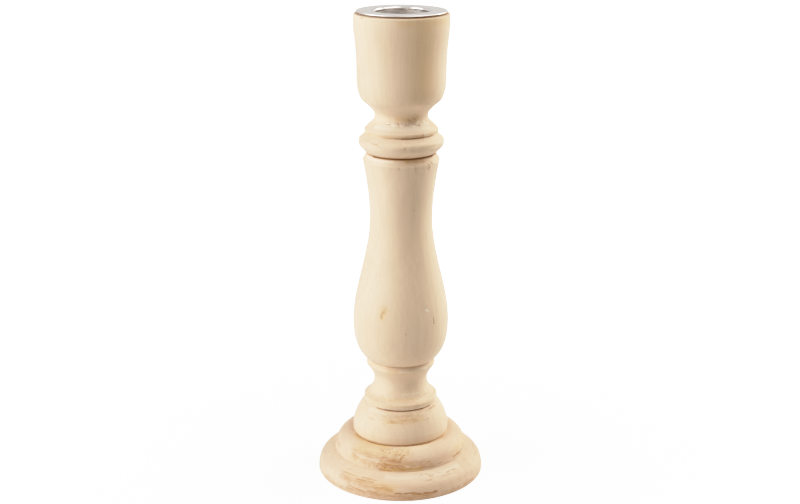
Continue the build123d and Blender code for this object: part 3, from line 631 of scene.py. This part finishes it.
# Painted shade: the rings at 143.1 and 151.7 mm, and the ring's side and crease at 151.6 and
# 150.9 mm.
paint_layer(socket, "stains_and_painted_shade", [
    ring(15.0, 143.1, 0.3, 0.5), ring(15.33, 151.7, 0.5, 0.35),
    ((-10, 15.33, 151.6), (56, 15.33, 151.6), 0.4, 0.4),
    ((-10, 14.9, 150.9), (60, 14.9, 150.9), 0.3, 0.6)]
    + strokes(41, 10, (-60, 12.4, 154.9), (60, 15.0, 152.6), 5.0, 0.05, 0.15, 0.4)
    + strokes(42, 14, (-80, 15.8, 145.0), (80, 17.7, 148.4), 5.0, 0.05, 0.15, 0.4)
    + strokes(43, 14, (90, 12.4, 154.9), (270, 15.0, 152.6), 5.0, 0.05, 0.2, 0.5))
# Painted shade: the joint under the collar at 142.7 to 142.9 mm, the ring's crease at about 150.9
# mm, and the rim under the cup's flange at 199.45 mm.
paint_layer(socket, "dark_marks_and_painted_shade", alike(0.22, 0.38, socket_slits) + [
    ((-55, 19.6, 199.2), (-52, 19.65, 198.8), 0.35, 0.5), ring(14.2, 142.7, 0.7, 1.0),
    ((-28, 14.8, 142.9), (60, 14.8, 142.9), 0.25, 0.8),
    ((0, 14.9, 150.85), (36, 14.9, 150.85), 0.33, 0.6),
    ((36, 14.95, 150.9), (60, 14.95, 151.0), 0.28, 0.25),
    ((-30, 14.9, 150.9), (0, 14.9, 150.9), 0.3, 0.2),
    ((37, 17.6, 147.4), (52, 17.6, 147.8), 0.25, 0.25), ring(18.1, 199.45, 0.5, 0.6)])
paint_layer(socket, "torn", [(*mark[:3], 0.8) for mark in socket_tears])
paint_layer(socket, "pale_fibres_and_painted_light", [
    # Painted light on the neck's cone, and a painted highlight on the ring's edge at 152.6 mm.
    ((-20, 11.9, 155.8), (54, 12.4, 155.2), 0.8, 0.55),
    ((-50, 13.0, 154.3), (56, 13.2, 154.0), 1.2, 0.5),
    ((-70, 14.9, 152.6), (24, 14.9, 152.6), 0.25, 0.5)]
    + strokes(44, 44, (20, 11.2, 156.9), (60, 13.2, 154.1), 0.9, 1.2, 0.2, 1.0)
    + strokes(45, 12, (-42, 11.5, 156.2), (-14, 12.2, 155.4), 1.0, 0.8, 0.18, 0.9)
    + strokes(46, 6, (37, 15.2, 152.5), (50, 15.33, 151.5), 0.6, 0.8, 0.17, 0.8))
finish_piece(socket, "candle_socket", "stand", column_poplar)

# Candle cup. Drawn from soft aluminium sheet: a deep cup, its mouth rolled over a wide
# flange, turned in the press and left satin, with fine rings round it. It drops into the
# socket's bore and lifts out.

rim_height, cup_depth, cup_metal = 200.0, 22.0, 0.6
cup_bore, cup_outside = 11.15, 11.7
# A plain point beside each corner keeps the fine spacing out of the straight walls.
cup = turn_piece("aluminium_cup", rim_height, [
    (0, -cup_depth - cup_metal), (9.1, -cup_depth - cup_metal),
    (9.15, -cup_depth - cup_metal, 0), (11.75, -20.0, 90), (cup_outside, -19.9),
    (cup_outside, -0.5), (cup_outside, -0.4, 90), (12.0, 0.0, 0), (12.1, 0.0), (18.2, 0.02),
    (18.25, 0.02, 0), (18.55, 0.3, 90), (18.25, 0.58, 180), (18.2, 0.58), (14.2, 0.52),
    (12.1, 0.57), (12.0, 0.57, 180), (cup_bore, -0.15, 270), (cup_bore, -0.2),
    (cup_bore, -19.9), (cup_bore, -20.0, 270), (9.15, -cup_depth, 180), (9.1, -cup_depth),
    (0, -cup_depth)], spacing=0.1)
aluminium = blank_material("satin aluminium")
cup_place = add_node(aluminium, "TexCoord")
cup_spot = add_node(aluminium, "SeparateXYZ", Vector=cup_place.outputs["Object"])
cup_flat = add_node(aluminium, "CombineXYZ", X=cup_spot.outputs["X"], Y=cup_spot.outputs["Y"])
cup_radius = add_node(aluminium, "VectorMath", {"operation": "LENGTH"}, in_0=cup_flat.outputs[0])
cup_travel = add_node(aluminium, "Math", {"operation": "SUBTRACT"},
                      in_0=cup_radius.outputs["Value"], in_1=cup_spot.outputs["Z"])
# Fine rings of the press and the polishing cloth, about 0.35 mm apart.
polish_gap = 0.35 * millimetre
drawn = add_node(aluminium, "TexNoise", {"noise_dimensions": "1D"}, Scale=1 / polish_gap,
                 Detail=3.0, W=cup_travel.outputs[0])
# The lip slid over the press's polished tool and shines more than the wall and the flange.
wall_part = add_node(aluminium, "MapRange", Value=cup_spot.outputs["Z"],
                     in_1=(rim_height - 1.2) * millimetre, in_2=(rim_height - 0.3) * millimetre,
                     in_3=0.3, in_4=0.12)
flange_part = add_node(aluminium, "MapRange", Value=cup_radius.outputs["Value"],
                       in_1=12.3 * millimetre, in_2=13.2 * millimetre, in_3=0.0, in_4=0.16)
lip_rough = add_node(aluminium, "Math", {"operation": "ADD"}, in_0=wall_part.outputs[0],
                     in_1=flange_part.outputs[0])
drawn_rough = add_node(aluminium, "Math", {"operation": "MULTIPLY_ADD"}, in_0=drawn.outputs[0],
                       in_1=0.08, in_2=lip_rough.outputs[0])
drawn_bump = add_node(aluminium, "Bump", Strength=0.3, Distance=0.00002,
                      Height=drawn.outputs[0])
# The bore is painted darker and a little brown as shade in the recess; the lip and the flange are
# lighter.
bright_part = add_node(aluminium, "MapRange", Value=cup_spot.outputs["Z"],
                       in_1=(rim_height - 1.6) * millimetre, in_2=(rim_height - 0.1) * millimetre)
cup_tone_and_bore_shade = add_node(aluminium, "Mix", {"data_type": "RGBA"}, in_0=bright_part.outputs[0],
                    in_6=linear("d8d1cb"), in_7=linear("efe9e3"))
cup_shader = add_node(aluminium, "BsdfPrincipled", Base_Color=cup_tone_and_bore_shade.outputs[2], Metallic=1.0,
                      Roughness=drawn_rough.outputs[0], Normal=drawn_bump.outputs[0])
add_node(aluminium, "OutputMaterial", Surface=cup_shader.outputs[0])
finish_piece(cup, "candle_cup", "cup", aluminium)

# Dowels. Two bought beech pins with pressed glue flutes, which the solids already show: a
# short one in the collar, a long one from the base up to the baluster.

# Steamed beech is an even tan, with fine darker fibres, here 0.7 mm by 17 mm.
beech = blank_material("steamed beech")
pin_place = add_node(beech, "TexCoord")
pin_grain = add_node(beech, "Mapping", Vector=pin_place.outputs["Object"],
                     Scale=(1400, 1400, 60))
pin_fibre = add_node(beech, "TexNoise", Vector=pin_grain.outputs[0], Scale=1.0, Detail=4.0)
# The short dark dashes are beech's rays, 0.3 mm by 2 mm.
pin_rays = add_node(beech, "Mapping", Vector=pin_place.outputs["Object"],
                    Scale=(3300, 3300, 500))
pin_ray = add_node(beech, "TexVoronoi", Vector=pin_rays.outputs[0], Scale=1.0)
pin_dash = add_node(beech, "MapRange", Value=pin_ray.outputs["Distance"], in_1=0.3, in_2=0.12,
                    in_3=0.0, in_4=0.5)
pin_body = add_node(beech, "Mix", {"data_type": "RGBA"}, in_0=pin_fibre.outputs[0],
                    in_6=linear("e2c197"), in_7=linear("cfa274"))
pin_skin = add_node(beech, "Mix", {"data_type": "RGBA"}, in_0=pin_dash.outputs[0],
                    in_6=pin_body.outputs[2], in_7=linear("9c6a40"))
pin_bump = add_node(beech, "Bump", Strength=0.4, Distance=0.0001, Height=pin_fibre.outputs[0])
pin_shader = add_node(beech, "BsdfPrincipled", Base_Color=pin_skin.outputs[2], IOR=1.5,
                      Roughness=0.55, Normal=pin_bump.outputs[0])
add_node(beech, "OutputMaterial", Surface=pin_shader.outputs[0])
for pin in ("upper_dowel", "lower_dowel"):
    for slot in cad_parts[pin].material_slots:
        slot.material = beech

# Screw. A countersunk steel wood screw with a cross recess, driven from below through the
# base into the long dowel, where its head can be seen and turned.

screw_foot = 0.8
thread_start, thread_pitch, thread_turns = 9.0, 1.8, 10
thread_root, thread_depth, thread_half = 1.3, 0.75, 0.4
recess_span, recess_width, recess_depth, recess_taper = 4.4, 0.9, 1.3, 0.45
screw = turn_piece("countersunk_screw", screw_foot, [
    (0, 0), (3.8, 0), (3.98, 0.12), (3.98, 0.3), (2.0, 2.1), (1.95, 7.5), (1.35, 8.2),
    (1.35, 27.0), (0.3, 30.0), (0, 30.0)], facets=48)
bpy.ops.object.select_all(action="DESELECT")
for quarter in (0, 90):
    bpy.ops.mesh.primitive_cube_add(size=millimetre, location=(0, 0, screw_foot * millimetre),
                                    rotation=(0, 0, math.radians(quarter)),
                                    scale=(recess_span, recess_width, 2 * recess_depth))
    driver = bpy.context.object
    driver.name = f"driver_blade_{quarter}"
    bpy.ops.object.transform_apply(location=True, rotation=True, scale=True)
    bpy.ops.object.mode_set(mode="EDIT")
    bpy.ops.mesh.select_all(action="SELECT")
    # The blade narrows up to 0.01 mm below its end, and goes straight on from there.
    cut_height = (screw_foot + recess_depth - 0.01) * millimetre
    bpy.ops.mesh.bisect(plane_co=(0, 0, cut_height), plane_no=(0, 0, 1))
    bpy.ops.mesh.select_all(action="DESELECT")
    bpy.ops.object.mode_set(mode="OBJECT")
    top = np.array([v.co.z for v in driver.data.vertices]) > (screw_foot + 1) * millimetre
    driver.data.vertices.foreach_set("select", top)
    bpy.ops.object.mode_set(mode="EDIT")
    bpy.ops.transform.resize(value=(recess_taper, recess_taper, 1))
    bpy.ops.object.mode_set(mode="OBJECT")
    recess = screw.modifiers.new("recess", "BOOLEAN")
    recess.object = driver
    bpy.ops.object.select_all(action="DESELECT")
    bpy.context.view_layer.objects.active = screw
    bpy.ops.object.modifier_apply(modifier=recess.name)
    bpy.data.objects.remove(driver)
bpy.ops.mesh.primitive_plane_add(
    size=millimetre,
    location=(thread_root * millimetre, 0, (screw_foot + thread_start) * millimetre))
thread = bpy.context.object
bpy.ops.object.mode_set(mode="EDIT")
bpy.ops.mesh.select_all(action="SELECT")
bpy.ops.mesh.merge(type="CENTER")
for out, up in ((thread_depth, thread_half), (-thread_depth, thread_half)):
    bpy.ops.mesh.extrude_region_move(TRANSFORM_OT_translate={
        "value": (out * millimetre, 0, up * millimetre)})
bpy.ops.mesh.select_all(action="SELECT")
bpy.ops.mesh.edge_face_add()
bpy.ops.mesh.delete(type="ONLY_FACE")
bpy.ops.object.mode_set(mode="OBJECT")
bpy.ops.object.transform_apply(location=True, rotation=True, scale=True)
helix = thread.modifiers.new("helix", "SCREW")
helix.steps = helix.render_steps = 32
helix.screw_offset, helix.iterations = thread_pitch * millimetre, thread_turns
bpy.ops.object.modifier_apply(modifier=helix.name)
bpy.ops.object.mode_set(mode="EDIT")
bpy.ops.mesh.select_all(action="SELECT")
bpy.ops.mesh.fill_holes(sides=4)
bpy.ops.mesh.normals_make_consistent(inside=False)
bpy.ops.object.mode_set(mode="OBJECT")
screw.select_set(True)
bpy.context.view_layer.objects.active = screw
bpy.ops.object.join()
# The zinc coat is bright and a little clouded: its gloss and its grey vary in spots of about
# 0.6 mm.
steel = blank_material("zinc plated steel")
screw_place = add_node(steel, "TexCoord")
plating = add_node(steel, "TexNoise", Vector=screw_place.outputs["Object"], Scale=1800.0,
                   Detail=3.0)
plating_rough = add_node(steel, "MapRange", Value=plating.outputs[0], in_3=0.28, in_4=0.45)
plating_tint = add_node(steel, "Mix", {"data_type": "RGBA"}, in_0=plating.outputs[0],
                        in_6=linear("cfcdc6"), in_7=linear("b9b8b4"))
screw_shader = add_node(steel, "BsdfPrincipled", Base_Color=plating_tint.outputs[2],
                        Metallic=1.0, Roughness=plating_rough.outputs[0])
add_node(steel, "OutputMaterial", Surface=screw_shader.outputs[0])
finish_piece(screw, "base_screw", "stand", steel)

# Studio. A broad white paper floor in a white room, a large softbox on the left, two tall
# strips on the right, a softbox high on the right, and a weak warm fill in front. The paper
# has a hole where the base stands, so that the underside can be looked at.

bpy.ops.object.select_all(action="DESELECT")
floor_hole = 35.75
bpy.ops.mesh.primitive_circle_add(vertices=96, radius=floor_hole * millimetre)
floor = bpy.context.object
floor.name = "paper_floor"
bpy.ops.object.mode_set(mode="EDIT")
# Out from the hole's edge in two rings, 0.36 m and 8.9 m in radius.
for size in (10, 25):
    bpy.ops.mesh.extrude_region_move()
    bpy.ops.transform.resize(value=(size, size, 1))
bpy.ops.mesh.select_all(action="SELECT")
bpy.ops.mesh.normals_make_consistent(inside=False)
bpy.ops.object.mode_set(mode="OBJECT")
# The paper burns out to white away from the object, and is clear when seen from below.
paper = blank_material("white paper")
paper_place = add_node(paper, "TexCoord")
paper_away = add_node(paper, "VectorMath", {"operation": "LENGTH"},
                      in_0=paper_place.outputs["Object"])
paper_tone = add_node(paper, "MapRange", Value=paper_away.outputs["Value"], in_1=0.12,
                      in_2=0.5, in_3=0.8, in_4=0.55)
paper_face = add_node(paper, "BsdfDiffuse", Color=paper_tone.outputs[0])
paper_path = add_node(paper, "LightPath")
paper_light = add_node(paper, "MapRange", Value=paper_away.outputs["Value"], in_1=0.06,
                       in_2=0.3, in_3=1.1, in_4=3.0)
paper_fill = add_node(paper, "Math", {"operation": "MULTIPLY"},
                      in_0=paper_path.outputs["Is Camera Ray"], in_1=paper_light.outputs[0])
paper_glow = add_node(paper, "Emission", Strength=paper_fill.outputs[0])
lit_paper = add_node(paper, "AddShader", in_0=paper_face.outputs[0],
                     in_1=paper_glow.outputs[0])
side = add_node(paper, "NewGeometry")
clear = add_node(paper, "BsdfTransparent")
seen = add_node(paper, "MixShader", in_0=side.outputs["Backfacing"],
                in_1=lit_paper.outputs[0], in_2=clear.outputs[0])
add_node(paper, "OutputMaterial", Surface=seen.outputs[0])
floor.data.materials.append(paper)

room = bpy.data.worlds.new("white room")
bpy.context.scene.world = room
room.use_nodes = True
room.node_tree.nodes.clear()
# The camera sees the room as white and gloss reflects it, and otherwise it gives light only
# from below.
path = add_node(room, "LightPath")
way = add_node(room, "SeparateXYZ", Vector=add_node(room, "TexCoord").outputs["Generated"])
below = add_node(room, "Math", {"operation": "LESS_THAN"}, in_0=way.outputs["Z"], in_1=0.0)
fill = add_node(room, "Math", {"operation": "MULTIPLY"}, in_0=below.outputs[0], in_1=0.7)
shine = add_node(room, "Math", {"operation": "MULTIPLY"}, in_0=path.outputs["Is Glossy Ray"],
                 in_1=0.85)
seen_room = add_node(room, "Math", {"operation": "MULTIPLY"}, in_0=path.outputs["Is Camera Ray"],
                     in_1=3.0)
lit = add_node(room, "Math", {"operation": "MAXIMUM"}, in_0=fill.outputs[0],
               in_1=shine.outputs[0])
strength = add_node(room, "Math", {"operation": "MAXIMUM"}, in_0=seen_room.outputs[0],
                    in_1=lit.outputs[0])
sky = add_node(room, "Background", Strength=strength.outputs[0])
add_node(room, "OutputWorld", Surface=sky.outputs[0])


def softbox(name, azimuth, elevation, away, width, height, power, tint):
    """A rectangular softbox aimed at the middle of the column."""
    a, e = math.radians(azimuth), math.radians(elevation)
    target = Vector((0, 0, 0.1))
    place = target + away * Vector((math.sin(a) * math.cos(e), -math.cos(a) * math.cos(e),
                                    math.sin(e)))
    bpy.ops.object.light_add(type="AREA", location=place)
    lamp = bpy.context.object
    lamp.name = name
    lamp.data.shape = "RECTANGLE"
    lamp.data.size, lamp.data.size_y, lamp.data.energy = width, height, power
    lamp.data.color = tint
    lamp.rotation_euler = (target - place).to_track_quat("-Z", "Y").to_euler()


softbox("left_softbox", -75, 20, 1.2, 1.0, 1.4, 25, (0.985, 1, 1.06))
softbox("right_back_strip", 125, 15, 1.2, 0.6, 1.3, 12.6, (1, 0.965, 0.9))
softbox("right_strip", 105, 15, 1.2, 0.4, 1.3, 4.3, (1, 0.965, 0.9))
softbox("top_right_softbox", 80, 64, 1.2, 0.6, 0.9, 8, (1, 1, 1))
softbox("front_fill", 25, 10, 1.2, 0.9, 0.9, 0.9, (1, 0.94, 0.82))

# The camera was worked out from the joints' circles and the outlines: it stands 0.55 m away,
# looks down, and is a little off level.
camera_distance, camera_height = 0.5463, 0.2700
camera_tilt, camera_roll = 17.41, 0.17
picture_width, picture_shift = 800, -0.95
bpy.ops.object.camera_add(location=(0, -camera_distance, camera_height))
camera = bpy.context.object
camera.data.sensor_width = 36
camera.data.lens = 60.75
camera.data.shift_x = picture_shift / picture_width
level = Euler((math.radians(90 - camera_tilt), 0, 0)).to_matrix()
roll = Matrix.Rotation(math.radians(camera_roll), 3, "Z")
camera.rotation_euler = (level @ roll).to_euler()
bpy.context.scene.camera = camera

# The photograph's camera rolls bright wood off softly below white instead of clipping it.
view = bpy.context.scene.view_settings
view.view_transform = "Standard"
view.use_curve_mapping = True
whitest, shoulder = 3.0, 0.6
view.curve_mapping.white_level = (whitest, whitest, whitest)
film = view.curve_mapping.curves[3]
for light in (0.15, 0.3, 0.45, 0.6, 0.7, 0.8, 1.0, 1.2, 1.5, 1.8, 2.2, 2.6):
    over = max(light - shoulder, 0) / (1 - shoulder)
    film.points.new(light / whitest,
                    light if over == 0 else shoulder + (1 - shoulder) * (1 - math.exp(-over)))
view.curve_mapping.update()
